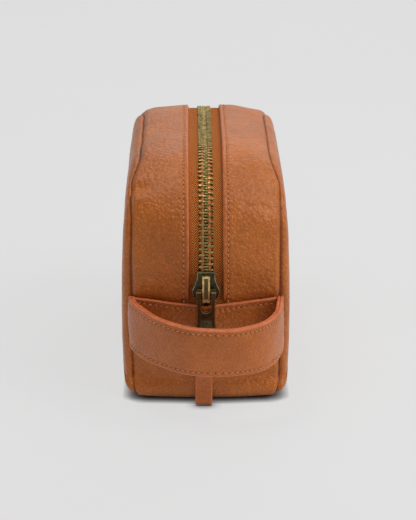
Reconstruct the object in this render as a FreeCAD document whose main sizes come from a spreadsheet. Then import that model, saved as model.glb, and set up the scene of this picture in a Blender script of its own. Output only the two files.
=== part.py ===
import FreeCAD, Part
import math
import os

# A leather shaving kit bag that stands on its base, with its zip running along Y.
# The two side panels face -X and +X. The front end, with the carrying handle, faces -Y.
# The origin is the middle of the base, on the surface that the bag stands on. Units are millimetres.

# name, value, what it is
DIMENSIONS = [
    ("bag_length", 200, "bag body along Y"),
    ("bag_height", 134, "bag body along Z"),
    ("bag_width", 90, "over the two side panels"),
    ("gusset_half", 40, "half width of the band between the side seams"),
    ("top_radius", 62, "outline corners over which the zip runs"),
    ("base_radius", 16, "outline corners at the base"),
    ("leather", 1.8, "thickness of the panel leather"),
    ("lining", 0.5, "thickness of the lining cloth"),
    ("zip_end_height", 56.5, "top edge of the base gusset, over both zip ends, and fold of the mouth"),
    ("split_gap", 0.3, "clearance each side of a fold line"),
    ("window_half", 9.4, "half width of the slot between the two zip gussets"),
    ("bulge_rim", 3, "how far in from the outline the side panel has turned over"),
    ("bulge_shoulder", 7.5, "inset of the side panel's shoulder"),
    ("bulge_crown", 12, "inset of the side panel's flat crown"),
    ("lining_side_inset", 3, "gap from the outline to the side lining"),
    ("lining_side_reach", 39.1, "distance of the side lining from the middle"),
    ("lining_base_half", 38.4, "half width of the base lining and the zip facings"),
    ("lining_base_top", 48, "top edge of the base lining"),
    ("facing_inset", 3.2, "zip facing below the leather's outer face"),
    ("facing_edge", 12, "inner edge of the zip facing from the middle"),
    ("tape_inset", 1.9, "outer face of the zip tape below the leather's outer face"),
    ("tape", 0.6, "thickness of the zip tape"),
    ("tape_edge", 2.4, "inner edge of the tape from the middle"),
    ("tape_reach", 16, "outer edge of the tape from the middle"),
    ("tape_low", 49, "height at which the tape ends"),
    ("tooth_pitch", 3.2, "spacing of the teeth on one tape"),
    ("tooth_length", 1.3, "size of one tooth along the zip"),
    ("tooth_reach", 3.8, "back of a tooth from the middle"),
    ("tooth_hook", 0.9, "how far a tooth's head passes the middle"),
    ("tooth_shoulder", 1.3, "where the legs of a tooth end and its head begins"),
    ("tooth_thick", 2.8, "thickness of a tooth's legs"),
    ("head_thick", 2.1, "thickness of a tooth's head"),
    ("tooth_slot", 0.7, "slot in a tooth that clamps the tape"),
    ("slider_height", 68.5, "middle of the closed slider, on the straight part of the front end"),
    ("slider_tail", 8.5, "slider's narrow end, above its middle"),
    ("slider_nose", 9, "slider's wide end, below its middle"),
    ("slider_tail_half", 4.7, "half width at the narrow end"),
    ("slider_body_half", 7.6, "half width at the shoulders"),
    ("slider_nose_half", 5.6, "half width at the nose"),
    ("plate", 1.35, "thickness of each slider plate"),
    ("channel_top", 1.55, "upper face of the slider's channel, above the tape's middle"),
    ("channel_base", 2.25, "lower face of the channel, below the tape's middle"),
    ("flange_gap_top", 0.45, "upper flange, above the tape's middle"),
    ("flange_gap_base", 1.15, "lower flange, below the tape's middle"),
    ("flange", 0.65, "wall thickness of the slider's flanges"),
    ("bridge_half", 2.1, "half width of the slider's bridge"),
    ("bridge_rise", 3.5, "height of the bridge above the upper plate"),
    ("bridge_clear", 2.6, "height of the space under the bridge"),
    ("bridge_tail", 7.1, "bridge's upper end from the slider's middle"),
    ("bridge_nose", 8.7, "bridge's lower end from the slider's middle"),
    ("bridge_leg", 2, "length of each bridge leg along the zip"),
    ("pivot_drop", 2.1, "puller's bar below the slider's middle"),
    ("pivot_rise", 4.2, "puller's bar above the tape's middle"),
    ("bar_radius", 0.7, "radius of the puller's bar"),
    ("puller_thick", 1.6, "thickness of the puller"),
    ("puller_length", 28, "bar to the free end"),
    ("puller_neck_half", 4.3, "half width of the puller at its bar"),
    ("puller_end_half", 5.3, "half width of the puller at its free end"),
    ("puller_window_half", 2.7, "half width of the puller's window"),
    ("puller_window", 10.3, "bar to the window's round end centre"),
    ("handle_axis_out", 3, "handle's fold line in front of the front face"),
    ("handle_centre_back", 8, "centre of the strap's bow behind its fold line"),
    ("handle_axis_height", 45.8, "middle of the handle's sewn ends"),
    ("handle_height", 29, "width of the handle strap"),
    ("handle_radius", 38.5, "outer radius of the strap's bow"),
    ("handle_ply", 1.4, "thickness of each of the strap's two plies"),
    ("handle_start", 7.5, "strap's free span from the fold line"),
    ("handle_end_reach", 0.5, "sewn end past the fold line"),
    ("handle_droop", 8, "degrees by which the strap hangs down"),
    ("tab_width", 9.5, "width of the grip tab"),
    ("tab_thick", 3, "thickness of the folded grip tab"),
    ("tab_top", 32, "upper end of the grip tab"),
    ("tab_fold", 12, "height where the sewn part of the tab ends"),
    ("tab_low", 1, "free end of the tab above the ground"),
    ("pocket_half", 60, "half length of the slip pocket"),
    ("pocket_low", 16, "bottom of the slip pocket"),
    ("pocket_top", 52, "top of the slip pocket"),
    ("pocket_gap", 0.4, "room between the pocket and the side lining"),
    ("binding_width", 8, "leather binding on the pocket's mouth"),
    ("binding_thick", 1.6, "thickness of that binding"),
]

SHEET = "dims"
OUTLINE_EDGES = 8
BIG = 400  # a cutting box larger than the bag
X_AXIS = FreeCAD.Vector(1, 0, 0)


def make_sheet(doc):
    """The driving dimensions, one per row, each cell aliased by its name."""
    sheet = doc.addObject("Spreadsheet::Sheet", SHEET)
    for row, (alias, value, note) in enumerate(DIMENSIONS, 1):
        sheet.set(f"A{row}", alias)
        sheet.set(f"B{row}", str(value))
        sheet.set(f"C{row}", note)
        sheet.setAlias(f"B{row}", alias)
    doc.recompute()
    return sheet


def bind(thing, **expressions):
    """Binds properties of an object to expressions on the sheet. A double underscore stands for a dot."""
    for path, expression in expressions.items():
        thing.setExpression(path.replace("__", "."), expression)
    return thing


def value(thing, expression):
    """An expression's value now, as a plain number."""
    return float(thing.evalExpression(expression))


# ---- sketches -------------------------------------------------------------------------------


def attach(sketch, body, role):
    """Puts a body's sketch on one of the body's own origin planes."""
    plane = next(f for f in body.Origin.OriginFeatures if f.Role == role)
    sketch.AttachmentSupport = [(plane, "")]
    sketch.MapMode = "FlatFace"


def bound(sketch, kind, first, second, expression, name):
    """Adds a named distance or radius constraint that follows an expression."""
    number = value(sketch, expression)
    index = sketch.addConstraint(Sketcher.Constraint(kind, *first, *second, number))
    sketch.renameConstraint(index, name)
    sketch.setExpression(f"Constraints.{name}", expression)


def outline(sketch, inset):
    """The bag's rounded outline in Y and Z, moved in by an expression and centred on the sketch's origin."""
    half_long = f"{SHEET}.bag_length / 2 - ({inset})"
    half_high = f"{SHEET}.bag_height / 2 - ({inset})"
    top, base = f"{SHEET}.top_radius - ({inset})", f"{SHEET}.base_radius - ({inset})"
    a, b = value(sketch, half_long), value(sketch, half_high)
    rt, rb = value(sketch, top), value(sketch, base)

    def line(x0, y0, x1, y1):
        return Part.LineSegment(FreeCAD.Vector(x0, y0, 0), FreeCAD.Vector(x1, y1, 0))

    def corner(x, y, radius, quarter):
        circle = Part.Circle(FreeCAD.Vector(x, y, 0), FreeCAD.Vector(0, 0, 1), radius)
        return Part.ArcOfCircle(circle, quarter * math.pi / 2, (quarter + 1) * math.pi / 2)

    sketch.addGeometry([
        line(rb - a, -b, a - rb, -b), corner(a - rb, rb - b, rb, 3),
        line(a, rb - b, a, b - rt), corner(a - rt, b - rt, rt, 0),
        line(a - rt, b, rt - a, b), corner(rt - a, b - rt, rt, 1),
        line(-a, b - rt, -a, rb - b), corner(rb - a, rb - b, rb, 2),
    ])
    for edge in range(OUTLINE_EDGES):
        sketch.addConstraint(Sketcher.Constraint("Tangent", edge, 2, (edge + 1) % OUTLINE_EDGES, 1))
    for edge in (0, 4):
        sketch.addConstraint(Sketcher.Constraint("Horizontal", edge))
        sketch.addConstraint(Sketcher.Constraint("Vertical", edge + 2))
    sketch.addConstraint(Sketcher.Constraint("Equal", 1, 7))
    sketch.addConstraint(Sketcher.Constraint("Equal", 3, 5))
    bound(sketch, "DistanceX", (-1, 1), (2, 1), half_long, "right")
    bound(sketch, "DistanceX", (6, 1), (-1, 1), half_long, "left")
    bound(sketch, "DistanceY", (-1, 1), (4, 1), half_high, "top")
    bound(sketch, "DistanceY", (0, 1), (-1, 1), half_high, "low")
    bound(sketch, "Radius", (1,), (), base, "base_corner")
    bound(sketch, "Radius", (3,), (), top, "top_corner")
    return sketch


def polygon(sketch, points):
    """A closed polygon whose corners are pairs of expressions in the sketch's own plane."""
    corners = [FreeCAD.Vector(value(sketch, x), value(sketch, y), 0) for x, y in points]
    for here, there in zip(corners, corners[1:] + corners[:1]):
        sketch.addGeometry(Part.LineSegment(here, there))
    for i, (x, y) in enumerate(points):
        sketch.addConstraint(Sketcher.Constraint("Coincident", i, 2, (i + 1) % len(points), 1))
        across, along = ("DistanceX", -2, x, corners[i].x), ("DistanceY", -1, y, corners[i].y)
        for kind, axis, expression, number in (across, along):
            if abs(number) < 1e-9:
                sketch.addConstraint(Sketcher.Constraint("PointOnObject", i, 1, axis))
            elif number > 0:
                bound(sketch, kind, (-1, 1), (i, 1), expression, f"{kind}_{i}")
            else:
                bound(sketch, kind, (i, 1), (-1, 1), f"-({expression})", f"{kind}_{i}")
    return sketch


def outline_sketch(body, name, inset, along):
    """The outline as a sketch of a body, square to X, at a distance along X."""
    sketch = body.newObject("Sketcher::SketchObject", name)
    attach(sketch, body, "YZ_Plane")
    bind(sketch, AttachmentOffset__Base__y=f"{SHEET}.bag_height / 2", AttachmentOffset__Base__z=along)
    return outline(sketch, inset)


def add_feature(body, kind, sketch, length):
    """A pad away from the sketch, or a pocket the other way so that it also runs along the sketch's normal."""
    feature = body.newObject(f"PartDesign::{kind}", f"{sketch.Name}_{kind}")
    feature.Profile = sketch
    if kind == "Pocket":
        feature.Reversed = True
    bind(feature, Length=length)
    sketch.Visibility = False
    return feature


def cut_box(body, name, low, size):
    """Takes a box out of a body. low and size are three expressions each."""
    box = body.newObject("PartDesign::SubtractiveBox", name)
    plane = next(f for f in body.Origin.OriginFeatures if f.Role == "XY_Plane")
    box.AttachmentSupport = [(plane, "")]
    box.MapMode = "FlatFace"
    bind(box, Length=size[0], Width=size[1], Height=size[2])
    bind(box, AttachmentOffset__Base__x=low[0], AttachmentOffset__Base__y=low[1],
         AttachmentOffset__Base__z=low[2])
    return box


# ---- bag shell ------------------------------------------------------------------------------


def band(doc, name, near, wide, inset, thick, keep, height):
    """A strip of the bag's outline: from X = near, wide across, thick in from an inset, above or below a height."""
    body = doc.addObject("PartDesign::Body", name)
    add_feature(body, "Pad", outline_sketch(body, f"{name}_outer", inset, near), wide)
    add_feature(body, "Pocket", outline_sketch(body, f"{name}_inner", f"{inset} + {thick}", near), wide)
    low = f"-{BIG}" if keep == "above" else "0"
    cut_box(body, f"{name}_end", (f"-{BIG} / 2", f"-{BIG} / 2", f"{height} + {low}"), (f"{BIG}",) * 3)
    return body


def box(doc, name, low, size):
    """A plain cuboid between expressions."""
    made = doc.addObject("Part::Box", name)
    bind(made, Length=size[0], Width=size[1], Height=size[2])
    return bind(made, Placement__Base__x=low[0], Placement__Base__y=low[1], Placement__Base__z=low[2])


def boolean(doc, kind, name, base, tool):
    """Part::Cut or Part::Common of two objects."""
    made = doc.addObject(f"Part::{kind}", name)
    made.Base, made.Tool = base, tool
    return made


def keep_heights(doc, name, source, low, high):
    """The part of an object between two heights."""
    slab = box(doc, f"{name}_slab", (f"-{BIG} / 2", f"-{BIG} / 2", low),
               (f"{BIG}", f"{BIG}", f"({high}) - ({low})"))
    return boolean(doc, "Common", name, source, slab)


def mirror(doc, name, source):
    """The same piece on the +X side."""
    made = doc.addObject("Part::Mirroring", name)
    made.Source, made.Base, made.Normal = source, FreeCAD.Vector(0, 0, 0), X_AXIS
    return made


def free_outline(doc, name, inset, along):
    """The outline as a sketch outside any body, square to X, for a loft."""
    sketch = doc.addObject("Sketcher::SketchObject", name)
    sketch.Placement.Rotation = FreeCAD.Rotation(FreeCAD.Vector(1, 1, 1), 120)
    bind(sketch, Placement__Base__x=along, Placement__Base__z=f"{SHEET}.bag_height / 2")
    return outline(sketch, inset)


def dome(doc, name, sections):
    """A solid lofted through outlines, each an (inset, X) pair of expressions."""
    made = doc.addObject("Part::Loft", name)
    made.Sections = [free_outline(doc, f"{name}_{i}", inset, x) for i, (inset, x) in enumerate(sections)]
    made.Solid, made.Ruled = True, False
    return made


def side_panel(doc):
    """The left side panel as one bulged leather skin that meets the gusset at the seam."""
    d = SHEET
    rise = f"({d}.bag_width / 2 - {d}.gusset_half)"
    outer = dome(doc, "panel_outer", [
        ("0", f"-{d}.gusset_half"),
        (f"{d}.bulge_rim", f"-{d}.gusset_half - {rise} * 0.56"),
        (f"{d}.bulge_shoulder", f"-{d}.gusset_half - {rise} * 0.88"),
        (f"{d}.bulge_crown", f"-{d}.gusset_half - {rise}"),
    ])
    inner = dome(doc, "panel_inner", [
        (f"{d}.leather", f"-{d}.gusset_half"),
        (f"{d}.bulge_rim + {d}.leather * 0.8", f"-{d}.gusset_half - {rise} * 0.28"),
        (f"{d}.bulge_shoulder + {d}.leather * 0.4", f"-{d}.gusset_half - {rise} * 0.53"),
        (f"{d}.bulge_crown + {d}.leather * 0.2", f"-{d}.gusset_half - {rise} + {d}.leather"),
    ])
    return boolean(doc, "Cut", "panel_skin", outer, inner)


def shell(doc):
    """Gussets, side panels and lining. The left half is made, and the right half is its mirror image."""
    d = SHEET
    fold_low = f"{d}.zip_end_height - {d}.split_gap"
    fold_high = f"{d}.zip_end_height + {d}.split_gap"
    full = f"2 * {d}.gusset_half"
    made = [
        band(doc, "base_gusset", f"-{d}.gusset_half", full, "0", f"{d}.leather",
             "below", f"{d}.zip_end_height"),
        band(doc, "lining_base", f"-{d}.lining_base_half", f"2 * {d}.lining_base_half", f"{d}.leather + 0.4",
             f"{d}.lining", "below", f"{d}.lining_base_top"),
    ]
    skin = side_panel(doc)
    cloth = doc.addObject("PartDesign::Body", "side_cloth")
    add_feature(cloth, "Pad",
                outline_sketch(cloth, "side_cloth_edge", f"{d}.lining_side_inset", f"-{d}.lining_side_reach"),
                f"{d}.lining")
    zip_end = f"{d}.zip_end_height + {d}.split_gap"
    left = [
        keep_heights(doc, "side_panel_left_lower", skin, "-1", fold_low),
        keep_heights(doc, "side_panel_left_upper", skin, fold_high, f"{BIG}"),
        keep_heights(doc, "lining_left_lower", cloth, "-1", fold_low),
        keep_heights(doc, "lining_left_upper", cloth, fold_high, f"{BIG}"),
        band(doc, "zip_gusset_left", f"-{d}.gusset_half", f"{d}.gusset_half - {d}.window_half", "0",
             f"{d}.leather", "above", zip_end),
        band(doc, "zip_facing_left", f"-{d}.lining_base_half", f"{d}.lining_base_half - {d}.facing_edge",
             f"{d}.facing_inset", f"{d}.lining", "above", zip_end),
        band(doc, "zip_tape_left", f"-{d}.tape_reach", f"{d}.tape_reach - {d}.tape_edge", f"{d}.tape_inset",
             f"{d}.tape", "above", f"{d}.tape_low"),
    ]
    right = [mirror(doc, piece.Name.replace("left", "right"), piece) for piece in left]
    return made + left + right


def pocket(doc):
    """A slip pocket of lining cloth on the left side, with a leather binding along its mouth."""
    d = SHEET
    face = f"-{d}.lining_side_reach + {d}.lining + {d}.pocket_gap"
    length = f"2 * {d}.pocket_half"
    cloth = box(doc, "slip_pocket", (face, f"-{d}.pocket_half", f"{d}.pocket_low"),
                (f"{d}.lining", length, f"{d}.pocket_top - {d}.binding_width - {d}.pocket_low"))
    binding = box(doc, "pocket_binding",
                  (f"{face} - {d}.pocket_gap / 2", f"-{d}.pocket_half", f"{d}.pocket_top - {d}.binding_width"),
                  (f"{d}.binding_thick", length, f"{d}.binding_width"))
    return [cloth, binding]


# ---- zip ------------------------------------------------------------------------------------


class ZipPath:
    """The middle of the zip tape in the plane X = 0. Distance 0 is the middle of the closed slider.

    The distance grows up the front corner, over the top and down the rear corner."""

    def __init__(self, sheet):
        self.radius = sheet.top_radius - sheet.tape_inset - sheet.tape / 2
        self.corner_y = sheet.bag_length / 2 - sheet.top_radius
        self.corner_z = sheet.bag_height - sheet.top_radius
        self.corner = self.radius * math.pi / 2
        self.length = 2 * (self.corner + self.corner_y)
        self.rise = self.corner_z - sheet.slider_height

    def point(self, distance):
        """The height, the distance along Y and the angle that the path has turned through."""
        past = distance - self.rise
        along = min(max(past, 0), self.length)
        straight = past - along
        if along < self.corner:
            angle, centre = along / self.radius, -self.corner_y
        elif along < self.length - self.corner:
            angle, centre = math.pi / 2, along - self.corner - self.corner_y
        else:
            angle, centre = math.pi - (self.length - along) / self.radius, self.corner_y
        y = centre - self.radius * math.cos(angle) + straight * math.sin(angle)
        z = self.corner_z + self.radius * math.sin(angle) + straight * math.cos(angle)
        return y, z, angle

    def placement(self, distance):
        """Where a piece sits whose own X is across the zip, Y along it and Z outward."""
        y, z, angle = self.point(distance)
        turn = FreeCAD.Rotation(X_AXIS, 90 - math.degrees(angle))
        return FreeCAD.Placement(FreeCAD.Vector(0, y, z), turn)

    def distance_at_rear(self, height):
        """The distance at which the zip comes down to a height below the rear corner."""
        return self.rise + self.length + self.corner_z - height


def block(x, y, z):
    """A Part box between (low, high) pairs."""
    size = [high - low for low, high in (x, y, z)]
    return Part.makeBox(*size, FreeCAD.Vector(x[0], y[0], z[0]))


def tooth(sheet, side):
    """One tooth: two legs that clamp the tape and a head that hooks past the middle. side is -1 or 1."""
    long, thick, head = sheet.tooth_length / 2, sheet.tooth_thick / 2, sheet.head_thick / 2
    legs = block((-sheet.tooth_reach, -sheet.tooth_shoulder), (-long, long), (-thick, thick))
    slot = block((-sheet.tooth_reach, -sheet.tape_edge + 0.05), (-long, long),
                 (-sheet.tooth_slot / 2, sheet.tooth_slot / 2))
    neck = block((-sheet.tooth_shoulder, sheet.tooth_hook - head / 2), (-long, long), (-head, head))
    start = FreeCAD.Vector(sheet.tooth_hook - head, -long, 0)
    nose = Part.makeCylinder(head, 2 * long, start, FreeCAD.Vector(0, 1, 0))
    made = legs.cut(slot).fuse([neck.cut(nose).fuse(nose).removeSplitter()]).removeSplitter()
    return made if side < 0 else made.mirror(FreeCAD.Vector(0, 0, 0), X_AXIS)


def row_of_teeth(doc, sheet, path, name, side, first, last):
    """Every tooth of one tape, as separate solids in one node."""
    one = tooth(sheet, side)
    teeth = []
    distance = first
    while distance <= last:
        copy = one.copy()
        copy.Placement = path.placement(distance).multiply(copy.Placement)
        teeth.append(copy)
        distance += sheet.tooth_pitch
    made = doc.addObject("Part::Feature", name)
    made.Shape = Part.makeCompound(teeth)
    return made


def stop(doc, sheet, path, name, distance, across, length, high):
    """A small crimped metal stop on the tape, slotted for it."""
    low = -sheet.tooth_thick / 2
    made = block(across, (-length / 2, length / 2), (low, high))
    half = sheet.tooth_slot / 2
    for edge in (-1, 1):
        outer = sorted((edge * sheet.tape_edge - edge * 0.05, edge * BIG))
        made = made.cut(block(outer, (-length, length), (-half, half)))
    feature = doc.addObject("Part::Feature", name)
    feature.Shape = made
    feature.Placement = path.placement(distance)
    return feature


def chain(doc, sheet, path):
    """Teeth and stops. The two rows are half a pitch apart, so that they mesh without touching."""
    pitch = sheet.tooth_pitch
    first = 0.6 - pitch
    rear = path.distance_at_rear(sheet.zip_end_height + 3)
    nose = sheet.slider_nose + 1.4
    thin = sheet.tape_inset + sheet.tape / 2 - sheet.leather - 0.1
    legs = (0.5, sheet.tooth_reach)
    return [
        row_of_teeth(doc, sheet, path, "zip_teeth_left", -1, first, rear - 2 * pitch),
        row_of_teeth(doc, sheet, path, "zip_teeth_right", 1, first + pitch / 2, rear - 2 * pitch),
        stop(doc, sheet, path, "zip_top_stop_left", -nose, (-legs[1], -legs[0]), 1.7, thin),
        stop(doc, sheet, path, "zip_top_stop_right", -nose, legs, 1.7, thin),
        stop(doc, sheet, path, "zip_bottom_stop", rear, (-legs[1], legs[1]), 2.4, sheet.tooth_thick / 2),
    ]


def plate_points(reach, ends):
    """Corners of the slider's plan, tail up, its sides moved in by an expression and its ends out by another."""
    d = SHEET
    right = [
        (f"{d}.slider_nose_half - {reach}", f"-{d}.slider_nose - {ends}"),
        (f"{d}.slider_body_half - {reach}", f"-{d}.slider_nose * 0.74"),
        (f"{d}.slider_body_half - {reach}", f"-{d}.slider_nose * 0.37"),
        (f"{d}.slider_tail_half - {reach}", f"{d}.slider_tail * 0.55"),
        (f"{d}.slider_tail_half - {reach}", f"{d}.slider_tail + {ends}"),
    ]
    return right + [(f"-({x})", y) for x, y in reversed(right)]


def flat_sketch(body, name, points, height):
    """A polygon on a body's XY plane, raised to a height."""
    sketch = body.newObject("Sketcher::SketchObject", name)
    attach(sketch, body, "XY_Plane")
    bind(sketch, AttachmentOffset__Base__z=height)
    return polygon(sketch, points)


def slider_body(doc, place):
    """Two plates joined by the wedge that parts the teeth, with flanges that hold the chain in."""
    d = SHEET
    body = doc.addObject("PartDesign::Body", "slider_body")
    wedge = [("1.3", f"-{d}.slider_nose + 0.6"), ("1.3", f"-{d}.slider_nose + 4"),
             ("0", f"-{d}.slider_nose + 5.5"),
             ("-1.3", f"-{d}.slider_nose + 4"), ("-1.3", f"-{d}.slider_nose + 0.6")]
    under = f"-{d}.channel_base - {d}.plate"
    add_feature(body, "Pad", flat_sketch(body, "wedge", wedge, under),
                f"{d}.channel_base + {d}.channel_top + 2 * {d}.plate")
    add_feature(body, "Pad", flat_sketch(body, "lower_plate", plate_points("0", "0"), under),
                f"{d}.plate + {d}.channel_base - {d}.flange_gap_base")
    add_feature(body, "Pad", flat_sketch(body, "upper_plate", plate_points("0", "0"), f"{d}.flange_gap_top"),
                f"{d}.plate + {d}.channel_top - {d}.flange_gap_top")
    wedge_hole = [("1.3", "-9.9"), ("1.3", f"-{d}.slider_nose + 4"), ("0", f"-{d}.slider_nose + 5.5"),
                  ("-1.3", f"-{d}.slider_nose + 4"), ("-1.3", "-9.9")]
    for name, low, high in (
        ("upper_channel", f"{d}.flange_gap_top", f"{d}.channel_top"),
        ("lower_channel", f"-{d}.channel_base", f"-{d}.flange_gap_base"),
    ):
        half = plate_points(f"{d}.flange", "0.9")
        right = half[:5] + [("0", f"{d}.slider_tail + 0.9")] + [wedge_hole[2], wedge_hole[1], wedge_hole[0]]
        left = [(f"-({x})", y) for x, y in reversed(right)]
        for side, points in (("right", right), ("left", left)):
            sketch = flat_sketch(body, f"{name}_{side}", points, low)
            add_feature(body, "Pocket", sketch, f"({high}) - ({low})")
    body.Placement = place
    return body


def slider_bridge(doc, place):
    """The arch over the upper plate that the puller's bar runs under."""
    d = SHEET
    floor = f"{d}.channel_top + {d}.plate"
    top = f"{floor} + {d}.bridge_rise"
    chamfer = "1.2"
    body = doc.addObject("PartDesign::Body", "slider_bridge")
    sketch = body.newObject("Sketcher::SketchObject", "bridge_side")
    attach(sketch, body, "YZ_Plane")
    bind(sketch, AttachmentOffset__Base__z=f"-{d}.bridge_half")
    tail, nose, leg = f"{d}.bridge_tail", f"{d}.bridge_nose", f"{d}.bridge_leg"
    polygon(sketch, [
        (f"-{nose}", floor), (f"-{nose} + {leg}", floor), (f"-{nose} + {leg}", f"{floor} + {d}.bridge_clear"),
        (f"{tail} - {leg}", f"{floor} + {d}.bridge_clear"), (f"{tail} - {leg}", floor), (tail, floor),
        (tail, f"{top} - {chamfer}"), (f"{tail} - {chamfer}", top),
        (f"-{nose} + {chamfer}", top), (f"-{nose}", f"{top} - {chamfer}"),
    ])
    add_feature(body, "Pad", sketch, f"2 * {d}.bridge_half")
    body.Placement = place
    return body


def lock_spring(doc, sheet, place):
    """The flat spring under the bridge with the pin that locks the slider to the teeth."""
    floor = sheet.channel_top + sheet.plate
    roof = floor + sheet.bridge_clear
    leaf = block((-1, 1), (0.2, sheet.bridge_tail - sheet.bridge_leg), (roof - 0.6, roof))
    pin = block((-0.5, 0.5), (0.2, 1), (floor + 0.2, roof - 0.6))
    made = doc.addObject("Part::Feature", "slider_lock_spring")
    made.Shape = leaf.fuse(pin).removeSplitter()
    made.Placement = place
    return made


def puller(doc, place):
    """The pull: a bar under the bridge, two arms round a window, and a grip that widens to its end."""
    d = SHEET
    neck, end, window = f"{d}.puller_neck_half", f"{d}.puller_end_half", f"{d}.puller_window_half"
    body = doc.addObject("PartDesign::Body", "zip_puller")
    plan = flat_sketch(body, "puller_plan", [
        (f"-{neck} + 1", "0.9"), (f"-{neck}", "0.2"), (f"-{end}", f"-{d}.puller_length + 1"),
        (f"-{end} + 1", f"-{d}.puller_length"), (f"{end} - 1", f"-{d}.puller_length"),
        (end, f"-{d}.puller_length + 1"), (neck, "0.2"), (f"{neck} - 1", "0.9"),
    ], f"-{d}.puller_thick / 2")
    add_feature(body, "Pad", plan, f"{d}.puller_thick")
    hole = flat_sketch(body, "puller_window_plan", [
        (f"-{window}", "2"), (f"-{window}", f"-{d}.puller_window"),
        (window, f"-{d}.puller_window"), (window, "2"),
    ], "-2")
    add_feature(body, "Pocket", hole, "4")
    for name, kind, along, radius in (
        ("window_end", "SubtractiveCylinder", "XY_Plane", window),
        ("puller_bar", "AdditiveCylinder", "YZ_Plane", f"{d}.bar_radius"),
    ):
        round_part = body.newObject(f"PartDesign::{kind}", name)
        attach(round_part, body, along)
        if kind == "SubtractiveCylinder":
            bind(round_part, Radius=radius, Height="4", AttachmentOffset__Base__z="-2",
                 AttachmentOffset__Base__y=f"-{d}.puller_window")
        else:
            bind(round_part, Radius=radius, Height=f"2 * {window} + 1",
                 AttachmentOffset__Base__z=f"-{window} - 0.5")
    lift = FreeCAD.Vector(0, -value(body, f"{d}.pivot_drop"), value(body, f"{d}.pivot_rise"))
    body.Placement = place.multiply(FreeCAD.Placement(lift, FreeCAD.Rotation()))
    return body


def zip_parts(doc, sheet):
    """The chain and the slider with its bridge, spring and puller, at the closed end of the zip."""
    path = ZipPath(sheet)
    closed = path.placement(0)
    return chain(doc, sheet, path) + [
        slider_body(doc, closed), slider_bridge(doc, closed),
        lock_spring(doc, sheet, closed), puller(doc, closed),
    ]


# ---- handle and grip tab --------------------------------------------------------------------


def strap_ply(doc, name, outer, turn):
    """One ply of the bowed strap: half a ring, cut back from its fold line, then turned down by the droop."""
    d = SHEET
    rings = []
    for part_name, radius in ((f"{name}_disc", outer), (f"{name}_core", f"{outer} - {d}.handle_ply")):
        disc = doc.addObject("Part::Cylinder", part_name)
        bind(disc, Radius=radius, Height=f"{d}.handle_height",
             Placement__Base__y=f"{d}.handle_centre_back", Placement__Base__z=f"-{d}.handle_height / 2")
        rings.append(disc)
    ring = boolean(doc, "Cut", f"{name}_ring", *rings)
    inside = box(doc, f"{name}_inside", (f"-{BIG} / 2", f"-{d}.handle_start", f"-{BIG} / 2"), (f"{BIG}",) * 3)
    made = boolean(doc, "Cut", name, ring, inside)
    made.Placement = turn
    return made


def handle(doc, sheet):
    """The two plies of the carrying strap and the two ends that are sewn into the side seams."""
    d = SHEET
    pivot = FreeCAD.Vector(0, -sheet.bag_length / 2 - sheet.handle_axis_out, sheet.handle_axis_height)
    turn = FreeCAD.Placement(pivot, FreeCAD.Rotation(X_AXIS, sheet.handle_droop))
    plies = [
        strap_ply(doc, "handle_outer", f"{d}.handle_radius", turn),
        strap_ply(doc, "handle_inner", f"{d}.handle_radius - {d}.handle_ply", turn),
    ]
    two_plies = f"2 * {d}.handle_ply"
    left = box(doc, "handle_end_left",
               (f"-{d}.handle_radius", f"-{d}.bag_length / 2 - {d}.handle_axis_out - {d}.handle_end_reach",
                f"{d}.handle_axis_height - {d}.handle_height / 2"),
               (two_plies, f"{d}.handle_axis_out + {d}.handle_end_reach", f"{d}.handle_height"))
    return plies + [left, mirror(doc, "handle_end_right", left)]


def grip_tab(doc):
    """The leather tab below the zip: its sewn part lies on the front end, and its tip hangs free."""
    d = SHEET
    near = f"-{d}.bag_length / 2 - {d}.tab_thick"
    parts = []
    for name, low, high in (
        ("grip_tab_sewn", f"{d}.tab_fold + {d}.split_gap", f"{d}.tab_top"),
        ("grip_tab_tip", f"{d}.tab_low", f"{d}.tab_fold - {d}.split_gap"),
    ):
        parts.append(box(doc, name, (f"-{d}.tab_width / 2", near, low),
                         (f"{d}.tab_width", f"{d}.tab_thick", f"({high}) - ({low})")))
    return parts


# ---- output ---------------------------------------------------------------------------------


def check(doc, nodes):
    """Stops if an object failed, or if a sub-part has no valid solid."""
    failed = [o.Name for o in doc.Objects if {"Invalid", "Error"} & set(o.State)]
    if failed:
        raise RuntimeError(f"these objects failed: {failed}")
    for node in nodes:
        if node.Shape.isNull() or not node.Shape.isValid() or not node.Shape.Solids:
            raise RuntimeError(f"{node.Label} has no valid solid")
        if min(solid.Volume for solid in node.Shape.Solids) <= 0:
            raise RuntimeError(f"{node.Label} has a solid with no volume")


def main():
    doc = FreeCAD.newDocument("shaving_kit_bag")
    sheet = make_sheet(doc)
    nodes = shell(doc) + pocket(doc) + zip_parts(doc, sheet) + handle(doc, sheet) + grip_tab(doc)
    doc.recompute()
    check(doc, nodes)
    os.makedirs("parts", exist_ok=True)
    for node in nodes:
        node.Shape.exportStep(f"parts/{node.Label}.step")
        print(f"{node.Label:24s} solids {len(node.Shape.Solids):3d}  volume {node.Shape.Volume:10.1f} mm3")


import Sketcher  # noqa: E402  it needs FreeCAD and Part first

main()
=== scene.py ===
"""A leather shaving kit bag. It stands on its base, its handle end towards -Y. Lengths are in millimetres."""

import math

import bmesh
import bpy
import numpy as np
from mathutils import Matrix, Vector


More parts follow.
